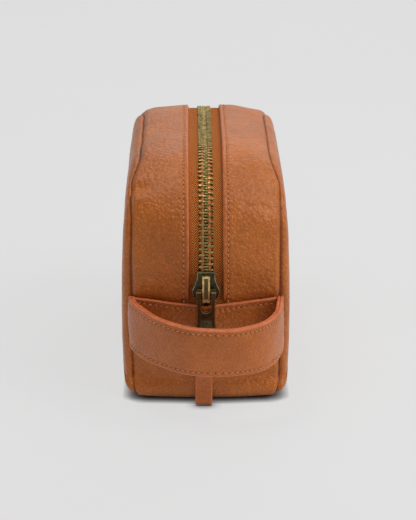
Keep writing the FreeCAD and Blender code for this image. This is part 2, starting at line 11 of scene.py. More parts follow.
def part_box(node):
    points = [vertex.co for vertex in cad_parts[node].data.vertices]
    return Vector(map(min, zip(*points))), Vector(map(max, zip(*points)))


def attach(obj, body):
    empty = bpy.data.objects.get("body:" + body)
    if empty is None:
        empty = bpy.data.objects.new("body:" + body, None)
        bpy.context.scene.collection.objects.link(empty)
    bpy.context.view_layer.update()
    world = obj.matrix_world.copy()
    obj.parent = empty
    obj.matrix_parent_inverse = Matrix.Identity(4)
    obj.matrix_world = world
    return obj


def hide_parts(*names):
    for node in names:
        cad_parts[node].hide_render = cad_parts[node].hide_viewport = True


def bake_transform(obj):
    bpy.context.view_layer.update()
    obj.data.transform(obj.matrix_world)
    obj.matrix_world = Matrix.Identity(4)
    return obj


MM = 0.001
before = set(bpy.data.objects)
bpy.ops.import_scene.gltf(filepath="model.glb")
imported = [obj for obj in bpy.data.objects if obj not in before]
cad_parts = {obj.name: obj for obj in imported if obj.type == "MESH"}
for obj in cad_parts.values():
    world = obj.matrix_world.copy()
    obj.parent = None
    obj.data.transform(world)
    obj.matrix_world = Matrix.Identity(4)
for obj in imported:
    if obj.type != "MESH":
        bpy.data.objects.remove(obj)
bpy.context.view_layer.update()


def cad(node):
    """A CAD node's lowest and highest corner, in millimetres."""
    return [np.array(corner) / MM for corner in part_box(node)]


HALF_LONG = cad("base_gusset")[1][1]
HALF_SEAM = cad("base_gusset")[1][0]
ZIP_END = cad("base_gusset")[1][2]
HEIGHT = cad("zip_gusset_left")[1][2]
WINDOW = -cad("zip_gusset_left")[1][0]
SLIDER_MIDDLE = 68.5
BASE_CORNER, SHOULDER_START = 11, 72
LEATHER = 1.8
LINING, LINING_GAP = 0.5, 0.5
TAPE_DEPTH = 2.2
TOOTH_PITCH = 3.2
STITCH_PITCH, STITCH_LENGTH = 3.0, 2.3
STITCH_INSET, STITCH_SINK = 2.6, 0.22
STRAP_MIDDLE = sum(cad("handle_end_left"))[2] / 2
STRAP_HEIGHT, STRAP_PLY = 28.1, 1.6
SIDES = {"left": -1, "right": 1}


# ---- camera, floor and light


def add_camera():
    """The photograph's view: a metre away, 20 degrees up, through a long lens."""
    data = bpy.data.cameras.new("camera")
    data.sensor_fit = "VERTICAL"
    data.sensor_height = 24
    data.lens = 24 * 1849 / 520
    data.clip_start = 0.05
    camera = bpy.data.objects.new("camera", data)
    bpy.context.scene.collection.objects.link(camera)
    camera.location = (-0.0088, -1.0397, 0.3985)
    camera.rotation_euler = (math.radians(90 - 18.55), 0, math.radians(-0.6))
    bpy.context.scene.camera = camera


def add_light(name, location, size, power):
    """A square soft light, aimed at the middle of the bag."""
    data = bpy.data.lights.new(name, "AREA")
    data.size = size
    data.energy = power
    light = bpy.data.objects.new(name, data)
    light.location = location
    bpy.context.scene.collection.objects.link(light)
    direction = Vector((0, 0, 0.07)) - light.location
    light.rotation_euler = direction.to_track_quat("-Z", "Y").to_euler()


def add_surroundings():
    """A pale studio, brighter on the right, three soft lights, and the floor."""
    world = bpy.data.worlds.new("studio")
    bpy.context.scene.world = world
    world.use_nodes = True
    nodes, links = world.node_tree.nodes, world.node_tree.links
    way, side = nodes.new("ShaderNodeTexCoord"), nodes.new("ShaderNodeSeparateXYZ")
    level = nodes.new("ShaderNodeMapRange")
    for name, value in (("From Min", -1), ("From Max", 1), ("To Min", 0.24), ("To Max", 0.47)):
        level.inputs[name].default_value = value
    links.new(way.outputs["Generated"], side.inputs[0])
    links.new(side.outputs["X"], level.inputs["Value"])
    seen, path = nodes.new("ShaderNodeMix"), nodes.new("ShaderNodeLightPath")
    links.new(path.outputs["Is Camera Ray"], seen.inputs[0])
    links.new(level.outputs[0], seen.inputs[2])
    seen.inputs[3].default_value = 0.77
    links.new(seen.outputs[0], nodes["Background"].inputs["Strength"])
    nodes["Background"].inputs["Color"].default_value = (1, 1, 1, 1)
    add_light("key", (0.95, -0.40, 1.05), 0.9, 10)
    add_light("back", (0.2, 1.15, 1.15), 1.3, 5.5)
    add_light("overhead", (-0.30, -0.12, 1.30), 0.5, 4.4)
    bpy.ops.mesh.primitive_circle_add(vertices=96, radius=6, fill_type="NGON", location=(0, 0, 0))
    floor = bpy.context.object
    floor.name = "floor"
    floor.data.materials.append(floor_paper())


# ---- materials


class Look:
    """A material whose nodes are added one at a time. An input is a value or another node's output."""

    def __init__(self, name):
        self.material = bpy.data.materials.new(name)
        self.material.use_nodes = True
        self.tree = self.material.node_tree
        self.shader = self.tree.nodes["Principled BSDF"]

    def add(self, kind, inputs=(), **properties):
        node = self.tree.nodes.new(kind)
        for name, value in properties.items():
            setattr(node, name, value)
        for name, value in dict(inputs).items():
            self.connect(node, name, value)
        return node

    def connect(self, node, name, value):
        if isinstance(value, bpy.types.NodeSocket):
            self.tree.links.new(value, node.inputs[name])
        else:
            node.inputs[name].default_value = value

    def set(self, **inputs):
        for name, value in inputs.items():
            self.connect(self.shader, name.replace("_", " "), value)
        return self

    def point(self):
        return self.add("ShaderNodeTexCoord").outputs["Object"]

    def uv(self):
        parts = self.add("ShaderNodeSeparateXYZ", {0: self.add("ShaderNodeTexCoord").outputs["UV"]})
        return parts.outputs["X"], parts.outputs["Y"]

    def math(self, operation, a, b=0.0):
        return self.add("ShaderNodeMath", {0: a, 1: b}, operation=operation).outputs[0]

    def noise(self, scale, detail=2.0, rough=0.5):
        inputs = {"Vector": self.point(), "Scale": scale, "Detail": detail, "Roughness": rough}
        return self.add("ShaderNodeTexNoise", inputs).outputs["Fac"]

    def cells(self, scale, feature, vector):
        inputs = {"Vector": vector, "Scale": scale}
        return self.add("ShaderNodeTexVoronoi", inputs, feature=feature).outputs["Distance"]

    def ramp(self, factor, stops):
        """stops are (position, colour or grey) pairs."""
        node = self.add("ShaderNodeValToRGB", {"Fac": factor})
        while len(node.color_ramp.elements) < len(stops):
            node.color_ramp.elements.new(0.5)
        for element, (position, colour) in zip(node.color_ramp.elements, stops):
            element.position = position
            element.color = (*colour, 1) if isinstance(colour, tuple) else (colour, colour, colour, 1)
        return node.outputs["Color"]

    def mix(self, factor, a, b, blend="MIX"):
        node = self.add("ShaderNodeMix", data_type="RGBA", blend_type=blend)
        self.connect(node, 0, factor)
        self.connect(node, 6, a)
        self.connect(node, 7, b)
        return node.outputs[2]

    def bump(self, height, distance, strength=1.0, under=None):
        node = self.add("ShaderNodeBump", {"Height": height, "Distance": distance * MM, "Strength": strength})
        if under:
            self.connect(node, "Normal", under)
        return node.outputs["Normal"]


def srgb(r, g, b):
    """An sRGB colour of 0 to 255 as linear values."""
    return tuple(((c / 255 + 0.055) / 1.055) ** 2.4 if c > 10 else c / 3294 for c in (r, g, b))


def pebbled(name, light, dark, grain=1.0, depth=1.0):
    """Pebbled leather: rounded grains, finer pores, soft wrinkles, and a tone that wanders, with painted
    shade in the crevices between grains and in the wrinkles' hollows, and painted light on the wrinkles'
    ridges.
    """
    look = Look(name)
    warp = look.add("ShaderNodeTexNoise", {"Vector": look.point(), "Scale": 260.0, "Detail": 1.0})
    warped = look.mix(0.0016, look.point(), warp.outputs["Color"], "LINEAR_LIGHT")
    grains = look.cells(540.0 / grain, "SMOOTH_F1", warped)
    edges = look.cells(540.0 / grain, "DISTANCE_TO_EDGE", warped)
    pores = look.noise(2600.0)
    wrinkles = look.noise(230.0)
    tone = look.noise(24.0, 4.0, 0.6)
    colour = look.ramp(tone, [(0.3, dark), (0.72, light)])
    # Darker where the grains meet: painted shade in the crevices between them.
    crevice_shade = look.ramp(edges, [(0.0, 0.68), (0.24, 1.0)])
    colour = look.mix(0.8, colour, crevice_shade, "MULTIPLY")
    # Darker in the wrinkles' hollows and lighter on their ridges: painted shade and painted light.
    colour = look.mix(0.28, colour, look.ramp(wrinkles, [(0.35, 0.78), (0.65, 1.1)]), "MULTIPLY")
    height = look.ramp(grains, [(0.05, 1.0), (0.62, 0.0)])
    normal = look.bump(wrinkles, 0.2 * depth, 0.4)
    normal = look.bump(height, 0.48 * depth, 0.8, normal)
    normal = look.bump(pores, 0.03, 0.5, normal)
    shine = look.ramp(look.noise(70.0, 3.0), [(0.3, 0.37), (0.75, 0.52)])
    look.set(Base_Color=colour, Roughness=shine, Normal=normal, Specular_IOR_Level=0.4, Sheen_Weight=0.12,
             Sheen_Roughness=0.45)
    return look.material


def painted_edge(name, light, dark):
    """A raw leather edge under edge paint: uneven, with fibres that show through."""
    look = Look(name)
    blotch = look.noise(230.0, 4.0, 0.65)
    colour = look.ramp(blotch, [(0.32, dark), (0.68, light)])
    normal = look.bump(look.noise(900.0, 3.0), 0.12, 0.6)
    return look.set(Base_Color=colour, Roughness=look.ramp(blotch, [(0.3, 0.42), (0.7, 0.6)]), Normal=normal,
                    Specular_IOR_Level=0.3).material


def thread(name, light, dark):
    """Twisted sewing thread, darker in the twist's grooves as painted shade."""
    look = Look(name)
    twist = look.add("ShaderNodeTexWave", {"Vector": look.point(), "Scale": 900.0, "Distortion": 1.0},
                     bands_direction="DIAGONAL").outputs["Fac"]
    colour = look.mix(look.noise(120.0), (*dark, 1), (*light, 1))
    # Darker in the twist's grooves: painted shade.
    colour = look.mix(0.35, colour, look.ramp(twist, [(0.0, 0.6), (1.0, 1.1)]), "MULTIPLY")
    return look.set(Base_Color=colour, Roughness=look.ramp(twist, [(0.0, 0.8), (1.0, 0.6)]),
                    Normal=look.bump(twist, 0.06)).material


def herringbone(name, light, dark):
    """Zip tape: ribs that change direction in narrow columns along it, darker in their grooves than on their
    crests as painted shade and light.
    """
    look = Look(name)
    across, along = look.uv()
    column, rib_pitch = 0.0185, 0.0148
    slant = look.math("MULTIPLY", look.math("PINGPONG", across, column), 1.5)
    phase = look.math("MULTIPLY", look.math("ADD", along, slant), 2 * math.pi / rib_pitch)
    rib = look.math("ADD", look.math("MULTIPLY", look.math("SINE", phase), 0.5), 0.5)
    fuzz = look.noise(1500.0, 3.0)
    # The colour follows the ribs' height: painted shade in the grooves, painted light on the crests.
    colour = look.mix(rib, (*dark, 1), (*light, 1))
    colour = look.mix(0.25, colour, look.ramp(fuzz, [(0.3, 0.75), (0.7, 1.15)]), "MULTIPLY")
    normal = look.bump(fuzz, 0.05, 0.5, look.bump(rib, 0.4))
    return look.set(Base_Color=colour, Roughness=look.ramp(rib, [(0.0, 0.9), (1.0, 0.72)]), Normal=normal,
                    Specular_IOR_Level=0.12).material


def plain_weave(name, light, dark):
    """Cotton lining in a plain weave, darker between the threads as painted shade."""
    look = Look(name)
    across, along = look.uv()
    turns = 2 * math.pi / 0.009
    waves = [look.math("SINE", look.math("MULTIPLY", way, turns)) for way in (across, along)]
    weave = look.math("ADD", look.math("MULTIPLY", look.math("MULTIPLY", *waves), 0.5), 0.5)
    # The colour follows the weave's height: painted shade between the threads.
    colour = look.mix(weave, (*dark, 1), (*light, 1))
    colour = look.mix(0.3, colour, look.ramp(look.noise(60.0, 4.0), [(0.3, 0.85), (0.7, 1.1)]), "MULTIPLY")
    return look.set(Base_Color=colour, Roughness=look.ramp(weave, [(0.0, 0.95), (1.0, 0.8)]),
                    Normal=look.bump(weave, 0.12), Sheen_Weight=0.25).material


def old_brass(name, bright, dark, low, high, patina=(0.4, 0.62)):
    """Antiqued brass: a dark patina in blotches, polished where it is worn."""
    look = Look(name)
    blotch = look.noise(420.0, 5.0, 0.62)
    fine = look.noise(2400.0, 3.0)
    mask = look.ramp(blotch, [(patina[0], 0.0), (patina[1], 1.0)])
    colour = look.mix(mask, (*dark, 1), (*bright, 1))
    rough = look.ramp(look.mix(0.5, mask, fine), [(0.2, high), (0.8, low)])
    normal = look.bump(fine, 0.015, 0.6)
    return look.set(Base_Color=colour, Metallic=1.0, Roughness=rough, Normal=normal).material


def floor_paper():
    """Pale paper whose own glow keeps shadows light; occlusion dims the glow right under the bag, a painted
    contact shadow.
    """
    look = Look("floor_paper")
    tone = look.ramp(look.noise(3.0, 3.0), [(0.3, 0.095), (0.7, 0.105)])
    # The glow fades where the bag is close: painted contact shadow.
    near = look.add("ShaderNodeAmbientOcclusion", {"Distance": 0.006}, samples=16).outputs["AO"]
    glow = look.math("MULTIPLY", look.math("POWER", near, 2.0), 0.625)
    return look.set(Base_Color=tone, Roughness=0.9, Normal=look.bump(look.noise(900.0), 0.02, 0.2),
                    Emission_Color=(1, 1, 1, 1), Emission_Strength=glow).material


mats = {}


def make_materials():
    mats["leather"] = pebbled("leather_pebbled", srgb(203, 113, 35), srgb(178, 95, 26))
    mats["strap"] = pebbled("leather_strap", srgb(205, 114, 44), srgb(184, 97, 33), 0.7, 0.6)
    mats["inside"] = pebbled("leather_flesh_side", srgb(150, 92, 58), srgb(120, 70, 42), 0.5, 0.5)
    # Dark brown: the binding shows in the seam's groove, where its colour stands for painted shade.
    mats["binding"] = painted_edge("seam_binding_painted_shade", srgb(136, 74, 36), srgb(98, 50, 22))
    mats["edge"] = painted_edge("leather_edge_paint", srgb(216, 122, 78), srgb(188, 98, 56))
    mats["thread"] = thread("thread_tan", srgb(232, 160, 108), srgb(206, 128, 78))
    mats["thread_dark"] = thread("thread_brown", srgb(226, 142, 94), srgb(188, 106, 62))
    # Near black: painted shade inside the needle holes.
    mats["hole"] = thread("needle_holes_painted_shade", srgb(50, 22, 12), srgb(24, 10, 6))
    mats["tape"] = herringbone("zip_tape_weave", srgb(234, 139, 64), srgb(104, 49, 14))
    mats["lining"] = plain_weave("lining_weave", srgb(158, 140, 116), srgb(112, 98, 80))
    mats["teeth"] = old_brass("brass_teeth", srgb(184, 164, 100), srgb(84, 72, 42), 0.27, 0.42, (0.32, 0.6))
    mats["dark"] = old_brass("brass_patina", srgb(92, 84, 60), srgb(56, 52, 42), 0.3, 0.42, (0.35, 0.75))
    # Near black: painted shade for the blocks between the zip's teeth.
    mats["shade"] = old_brass("brass_painted_shade", srgb(40, 34, 20), srgb(20, 16, 10), 0.5, 0.7)
    mats["rim"] = old_brass("brass_rubbed_edge", srgb(182, 172, 130), srgb(132, 124, 90), 0.25, 0.4)
    mats["patina"] = old_brass("brass_brown_patina", srgb(122, 104, 58), srgb(82, 68, 36), 0.3, 0.45)
    mats["bronze"] = old_brass("brass_puller", srgb(128, 116, 78), srgb(82, 75, 52), 0.3, 0.42, (0.35, 0.75))
    mats["bead"] = thread("zip_bead_cord", srgb(224, 130, 66), srgb(184, 96, 42))
    mats["worn"] = old_brass("brass_worn", srgb(230, 204, 140), srgb(172, 148, 92), 0.2, 0.34, (0.3, 0.6))


# ---- mesh helpers


def link(name, mesh, *materials):
    obj = bpy.data.objects.new(name, mesh)
    bpy.context.scene.collection.objects.link(obj)
    for material in materials:
        mesh.materials.append(mats[material])
    return obj


def build(name, points, faces, materials, indices=None, uvs=None, closed=True):
    """A smooth mesh from points. indices are the faces' materials, and uvs are one pair per point."""
    mesh = bpy.data.meshes.new(name)
    corners = [tuple(p) for p in np.asarray(points, float) * MM]
    mesh.from_pydata(corners, [], [tuple(map(int, f)) for f in faces])
    mesh.polygons.foreach_set("use_smooth", [True] * len(mesh.polygons))
    if indices is not None:
        mesh.polygons.foreach_set("material_index", list(map(int, indices)))
    if uvs is not None:
        layer = mesh.uv_layers.new(name="UVMap")
        loops = np.empty(len(mesh.loops), int)
        mesh.loops.foreach_get("vertex_index", loops)
        layer.data.foreach_set("uv", (np.asarray(uvs, float)[loops] * 0.01).ravel())
    if closed:
        work = bmesh.new()
        work.from_mesh(mesh)
        bmesh.ops.recalc_face_normals(work, faces=work.faces)
        work.to_mesh(mesh)
        work.free()
    mesh.update()
    return link(name, mesh, *materials)


def grid_faces(rows, columns, start=0, closed_rows=False):
    """Four-sided faces between rows of points, each row a line or a closed ring."""
    faces = []
    for r in range(rows - 1):
        for c in range(columns if closed_rows else columns - 1):
            a, b = start + r * columns + c, start + r * columns + (c + 1) % columns
            faces.append((a, b, b + columns, a + columns))
    return faces


def unit(vectors):
    return vectors / np.maximum(np.linalg.norm(vectors, axis=-1, keepdims=True), 1e-9)


def slab(name, outer, inner, materials, uv=None, rounding=0.3, paint=(0, 0, 0, 0)):
    """A sheet with thickness from two grids of points, closed by a rounded rim in the second material.

    paint is how many strips of the outer face are painted like the rim, next to its first and last rows and
    its first and last columns.
    """
    rows, columns = outer.shape[:2]
    count = rows * columns
    inside = outer[1:-1, 1:-1]
    padded = np.pad(inside, ((1, 1), (1, 1), (0, 0)), mode="edge")
    loop = [(0, c) for c in range(columns)] + [(r, columns - 1) for r in range(1, rows)]
    loop += [(rows - 1, c) for c in range(columns - 2, -1, -1)] + [(r, 0) for r in range(rows - 2, 0, -1)]
    at = np.array([r * columns + c for r, c in loop])
    o, i, p = outer.reshape(-1, 3)[at], inner.reshape(-1, 3)[at], padded.reshape(-1, 3)[at]
    thick = np.linalg.norm(o - i, axis=1, keepdims=True)
    rim = (o + i) / 2 + unit(o - p) * thick * rounding
    points = np.concatenate([outer.reshape(-1, 3), inner.reshape(-1, 3), rim])
    faces = grid_faces(rows, columns) + grid_faces(rows, columns, count)
    strips = np.zeros((rows - 1, columns - 1), int)
    strips[:paint[0]] = strips[rows - 1 - paint[1]:] = 1
    strips[:, :paint[2]] = strips[:, columns - 1 - paint[3]:] = 1
    indices = list(strips.ravel()) + [2 if len(materials) > 2 else 0] * (len(faces) // 2)
    ring = 2 * count + np.arange(len(at))
    for k in range(len(at)):
        n = (k + 1) % len(at)
        faces += [(at[k], at[n], ring[n], ring[k]), (ring[k], ring[n], at[n] + count, at[k] + count)]
        indices += [1, 1]
    uvs = None
    if uv is not None:
        flat = uv.reshape(-1, 2)
        uvs = np.concatenate([flat, flat, flat[at]])
    return build(name, points, faces, materials, indices, uvs)


def lathe(name, rings, materials, indices=None, uv=None):
    """A closed skin through closed rings of points, whose first and last rings are closed by a fan."""
    rows, columns = rings.shape[:2]
    ends = [rings[0].mean(0), rings[-1].mean(0)]
    points = np.concatenate([rings.reshape(-1, 3), ends])
    faces = grid_faces(rows, columns, closed_rows=True)
    tags = list(np.repeat([0] * (rows - 1) if indices is None else indices, columns))
    for end, row in ((0, 0), (1, rows - 1)):
        for c in range(columns):
            faces.append((row * columns + c, row * columns + (c + 1) % columns, rows * columns + end))
            tags.append(tags[0] if row == 0 else tags[-1])
    uvs = points[:, 1:] if uv else None
    return build(name, points, faces, materials, tags, uvs)


def sweep(name, path, up, outline, materials, uv=False):
    """A closed tube: an outline of (sideways, up) pairs carried along a path."""
    along = unit(np.gradient(path, axis=0))
    side = unit(np.cross(along, up))
    rings = path[:, None] + outline[None, :, :1] * side[:, None] + outline[None, :, 1:] * up[:, None]
    return lathe(name, rings, materials, uv=uv)


def circle(radius, count=10, squash=1.0):
    turn = np.linspace(0, 2 * math.pi, count, endpoint=False)
    return np.stack([radius * np.cos(turn), radius * squash * np.sin(turn)], 1)


def copies(name, template, places, materials):
    """Many copies of a template (points, faces) at places, each a rotation matrix and a position."""
    points, faces, indices = template
    all_points = np.concatenate([points @ turn.T + spot for turn, spot in places])
    step = len(points)
    all_faces = [tuple(v + k * step for v in face) for k in range(len(places)) for face in faces]
    return build(name, all_points, all_faces, materials, list(indices) * len(places), closed=False)


def template_of(work):
    """A bmesh as (points, faces, indices) for copies."""
    work.verts.ensure_lookup_table()
    points = np.array([v.co for v in work.verts])
    faces = [tuple(v.index for v in f.verts) for f in work.faces]
    work.free()
    return points, faces, [0] * len(faces)


def rounded_block(low, high, radius, segments):
    """A block with bevelled edges, as a template."""
    work = bmesh.new()
    low, high = Vector(low), Vector(high)
    size = high - low
    matrix = Matrix.Translation((low + high) / 2) @ Matrix.Diagonal((*size, 1))
    bmesh.ops.create_cube(work, size=1, matrix=matrix)
    bmesh.ops.bevel(work, geom=list(work.edges), offset=radius, segments=segments, affect="EDGES",
                    profile=0.5)
    bmesh.ops.recalc_face_normals(work, faces=work.faces)
    work.verts.index_update()
    return template_of(work)


def dome(centre, radius):
    """A small ball, as a template."""
    work = bmesh.new()
    bmesh.ops.create_uvsphere(work, u_segments=10, v_segments=6, radius=radius,
                              matrix=Matrix.Translation(centre))
    work.verts.index_update()
    return template_of(work)


def joined(*templates):
    """Several templates as one."""
    points, faces, indices, start = [], [], [], 0
    for p, f, i in templates:
        points.append(p)
        faces += [tuple(v + start for v in face) for face in f]
        indices += i
        start += len(p)
    return np.concatenate(points), faces, indices


def plate(name, outlines, low, high, bevel, matrix, materials):
    """A flat metal piece from closed outlines, the later ones holes. Its bevels have the second material."""
    curve = bpy.data.curves.new(name, "CURVE")
    curve.dimensions = "2D"
    curve.fill_mode = "BOTH"
    for outline in outlines:
        spline = curve.splines.new("POLY")
        spline.points.add(len(outline) - 1)
        for point, (x, y) in zip(spline.points, outline):
            point.co = (x * MM, y * MM, 0, 1)
        spline.use_cyclic_u = True
    curve.extrude = ((high - low) / 2 - bevel) * MM
    curve.bevel_depth = bevel * MM
    curve.bevel_resolution = 1
    curve.offset = -bevel * MM
    holder = bpy.data.objects.new(name + "_curve", curve)
    bpy.context.scene.collection.objects.link(holder)
    bpy.context.view_layer.update()
    mesh = bpy.data.meshes.new_from_object(holder.evaluated_get(bpy.context.evaluated_depsgraph_get()))
    bpy.data.objects.remove(holder)
    mesh.materials.clear()
    obj = link(name, mesh, *materials)
    for polygon in mesh.polygons:
        polygon.material_index = int(0.15 < abs(polygon.normal.z) < 0.97)
        polygon.use_smooth = False
    mesh.transform(Matrix.Translation((0, 0, (low + high) / 2 * MM)))
    mesh.transform(matrix)
    return obj


def rounded(corners, radius, steps=5):
    """A polygon's corners rounded off."""
    corners = [np.array(c, float) for c in corners]
    points = []
    for k, corner in enumerate(corners):
        before, after = corners[k - 1] - corner, corners[(k + 1) % len(corners)] - corner
        reach = min(radius, 0.45 * np.linalg.norm(before), 0.45 * np.linalg.norm(after))
        a, b = (corner + way / np.linalg.norm(way) * reach for way in (before, after))
        for t in np.linspace(0, 1, steps):
            points.append((1 - t) ** 2 * a + 2 * t * (1 - t) * corner + t * t * b)
    return points


# ---- the bag's surface


def smooth(value, low, high):
    """From 0 at low to 1 at high, flat at both ends."""
    t = np.clip((value - low) / (high - low), 0, 1)
    return t * t * (3 - 2 * t)


class Outline:
    """The bag's closed outline in the plane X = 0, by length from the middle of the base, front end first."""

    def __init__(self):
        front, rear = self.end(74, 2.5), self.end(90, 2.8)
        whole = np.concatenate([front, rear[-2:0:-1] * (-1, 1), front[:1]])
        length = np.concatenate([[0], np.cumsum(np.linalg.norm(np.diff(whole, axis=0), axis=1))])
        keep = np.concatenate([[True], np.diff(length) > 1e-6])
        self.length = length[-1]
        self.s = np.linspace(0, self.length, 4000)
        self.y = np.interp(self.s, length[keep], whole[keep, 0])
        self.z = np.interp(self.s, length[keep], whole[keep, 1])
        soft = np.ones(41) / 41
        slopes = [np.pad(np.gradient(v), 20, mode="wrap") for v in (self.y, self.z)]
        dy, dz = (np.convolve(slope, soft, "valid") for slope in slopes)
        size = np.hypot(dy, dz)
        self.ny, self.nz = -dz / size, dy / size

    def end(self, reach, power):
        """Half of the outline: a small round corner at the base, a wide, squarish one over the shoulder."""
        turn = np.linspace(0, math.pi / 2, 90)
        base, tall = BASE_CORNER, HEIGHT - SHOULDER_START
        low = [(base - HALF_LONG - base * math.sin(t), base - base * math.cos(t)) for t in turn]
        top = [(reach - HALF_LONG - reach * math.cos(t) ** (2 / power),
                SHOULDER_START + tall * math.sin(t) ** (2 / power)) for t in turn[:-1]]
        return np.array([(0, 0)] + low + top + [(reach - HALF_LONG, HEIGHT), (0, HEIGHT)])

    def at(self, s):
        """Y, Z and the outward direction's Y and Z at a length."""
        s = np.mod(s, self.length)
        return [np.interp(s, self.s, v) for v in (self.y, self.z, self.ny, self.nz)]

    def front(self, height):
        """The length at which the front end reaches a height."""
        rising = self.s < self.length / 2
        return np.interp(height, self.z[rising], self.s[rising])

    def rear(self, height):
        """The length at which the rear end reaches a height."""
        return self.length - self.front(height)


line = Outline()


def ripple(x, y, z):
    """Soft unevenness of the leather, from a few crossing waves."""
    total = 0
    for k, (a, b, c, phase, high) in enumerate((
        (0.11, 0.07, 0.16, 0.3, 0.30), (-0.17, 0.12, 0.05, 1.9, 0.26), (0.05, -0.21, 0.13, 4.2, 0.20),
        (0.38, 0.22, -0.31, 2.2, 0.09), (-0.29, 0.41, 0.24, 5.1, 0.08), (0.62, -0.13, 0.49, 0.9, 0.045),
    )):
        total = total + high * np.sin(a * x + b * y + c * z + phase + 0.6 * np.sin(0.09 * x - 0.05 * z + k))
    return total


def half_width(s):
    """From the middle to the side seams: narrower over the top and at the base."""
    _, z, _, nz = line.at(s)
    return HALF_SEAM - 4.8 * smooth(z, HEIGHT - 11, HEIGHT) - 2.0 * np.clip(-nz, 0, 1) ** 2


# Puckers beside the side seams: height on the front end, side, depth, height of the dent, reach across.
PUCKERS = ((121, -1, 1.5, 3.2, 7), (115, -1, -0.7, 4, 9), (117, 1, 1.1, 3, 9), (110, 1, 0.7, 2.6, 12),
           (126, 1, 0.8, 3, 8), (90, -1, 0.5, 5, 7), (84, 1, 0.45, 6, 8))


def body(s, x, n=0.0, seam_roll=2.2):
    """Points on the gussets: a length round the outline, a distance across, and n outward."""
    s, x, n = np.broadcast_arrays(np.asarray(s, float), np.asarray(x, float), np.asarray(n, float))
    y, z, ny, nz = line.at(s)
    end, base = np.abs(ny), np.clip(-nz, 0, 1)
    half = half_width(s)
    u = np.abs(x) / half
    crown = (4.0 + 4.0 * end ** 2) * (1 - 0.85 * base ** 0.7)
    power = 3.4 - 1.7 * end * smooth(z, 110, 60) - 1.0 * end
    drop = crown * np.clip(u, 0, 1.2) ** power
    roll = seam_roll * np.clip((np.abs(x) - half + 2.2) / 2.2, 0, 1) ** 2.2
    free = smooth(np.abs(x), 9, 20) * (1 - base)
    out = n - drop - roll + free * ripple(x, y, z)
    for height, side, depth, tall, reach in PUCKERS:
        near = np.exp(-((s - line.front(height)) / tall) ** 2) * np.exp(-((x * side - half + 3) / reach) ** 2)
        out = out - depth * near
    return np.stack([x, y + out * ny, z + out * nz], -1)


def lip(d):
    """A sewn edge's profile by the distance from it: rounded, then raised, then pulled in by thread."""
    return (0.18 * np.exp(-((d - 1.0) / 0.7) ** 2) - 0.28 * np.exp(-((d - 2.6) / 0.5) ** 2)
            - 0.35 * np.clip(1 - d / 0.45, 0, 1) ** 2 + 0.1 * np.exp(-((d - 4.2) / 1.0) ** 2))


# Distances from a side seam and from a cut edge at which the leather's mesh has lines.
SEAM_STEPS = np.array([0, 0.4, 0.9, 1.4, 1.9, 2.5, 3.4, 4.6, 6, 8, 10.5])
EDGE_STEPS = np.array([10.5, 8, 6.4, 5.2, 4.4, 3.8, 3.3, 2.9, 2.6, 2.3, 2.0, 1.6, 1.2, 0.8, 0.45, 0.2, 0])


def mouth_blend(obj):
    """Bakes a piece's placement into its mesh."""
    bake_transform(obj)


def zip_gusset(side):
    """A leather strip along one side of the zip, its ends tucked under the base gusset's top edges."""
    sign = SIDES[side]
    s = np.arange(line.front(ZIP_END - 7), line.rear(ZIP_END - 7), 1.5)[:, None]
    half = half_width(s)
    x = np.concatenate([half - SEAM_STEPS, WINDOW + EDGE_STEPS + 0 * half], 1)
    inward = np.concatenate([np.full(len(SEAM_STEPS), 50.0), EDGE_STEPS])[None, :]
    _, z, ny, _ = line.at(s)
    tuck = 2.0 * smooth(z, ZIP_END + 7, ZIP_END - 1) * np.abs(ny)
    outer = body(s, sign * x, lip(inward) - tuck)
    inner = body(s, sign * x, -LEATHER - tuck, seam_roll=1.0)
    piece = slab(f"zip_gusset_{side}_leather", outer, inner, ("leather", "edge", "inside"),
                 paint=(0, 0, 0, 2))
    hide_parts(f"zip_gusset_{side}")
    mouth_blend(piece)

    def seam(length):
        return body(length, sign * (WINDOW + STITCH_INSET), -STITCH_SINK)

    lengths = np.arange(line.front(ZIP_END + 1.5), line.rear(ZIP_END + 1.5), STITCH_PITCH)
    row = stitches(f"zip_gusset_{side}_stitches", seam, lengths, STITCH_LENGTH)
    mouth_blend(row)


def panel_edge(x, rear):
    """The length round the outline at which the base gusset's top edge lies."""
    height = ZIP_END + 2.6 * np.clip(np.abs(x) / HALF_SEAM, 0, 1) ** 1.4
    return line.rear(height) if rear else line.front(height)


def base_gusset():
    """One strip of leather that makes the lower front end, the base and the lower rear end."""
    at_seam, between = SEAM_STEPS / HALF_SEAM, np.linspace(-1, 1, 17) * (1 - 12.5 / HALF_SEAM)
    u = np.concatenate([at_seam - 1, between, 1 - at_seam[::-1]])[None, :]
    near = np.concatenate([EDGE_STEPS[::-1], np.arange(12, 60, 1.8)])
    far = 60
    middle = np.linspace(line.front(ZIP_END) - far, line.rear(ZIP_END) + far - line.length, 60)[1:-1]
    front = panel_edge(u * HALF_SEAM, False) - near[:, None]
    back = panel_edge(u * HALF_SEAM, True) - line.length + near[::-1, None]
    s = np.concatenate([front, middle[:, None] + 0 * u, back])
    d = np.concatenate([near, np.full(len(middle), far), near[::-1]])[:, None]
    x = u * half_width(s)
    proud = 1.1 * smooth(d, 22, 2)
    outer = body(s, x, lip(d) + proud)
    inner = body(s, x, proud - LEATHER, seam_roll=1.0)
    piece = slab("base_gusset_leather", outer, inner, ("leather", "edge", "inside"), paint=(2, 2, 0, 0))
    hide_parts("base_gusset")
    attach(piece, "shell")
    values = np.arange(-36.5, 36.6, STITCH_PITCH)
    for end, rear, inward in (("front", False, -STITCH_INSET), ("rear", True, STITCH_INSET)):

        def seam(x, rear=rear, inward=inward):
            return body(panel_edge(x, rear) + inward, x, proud.max() - STITCH_SINK)

        row = stitches(f"base_gusset_{end}_stitches", seam, values, STITCH_LENGTH)
        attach(row, "shell")


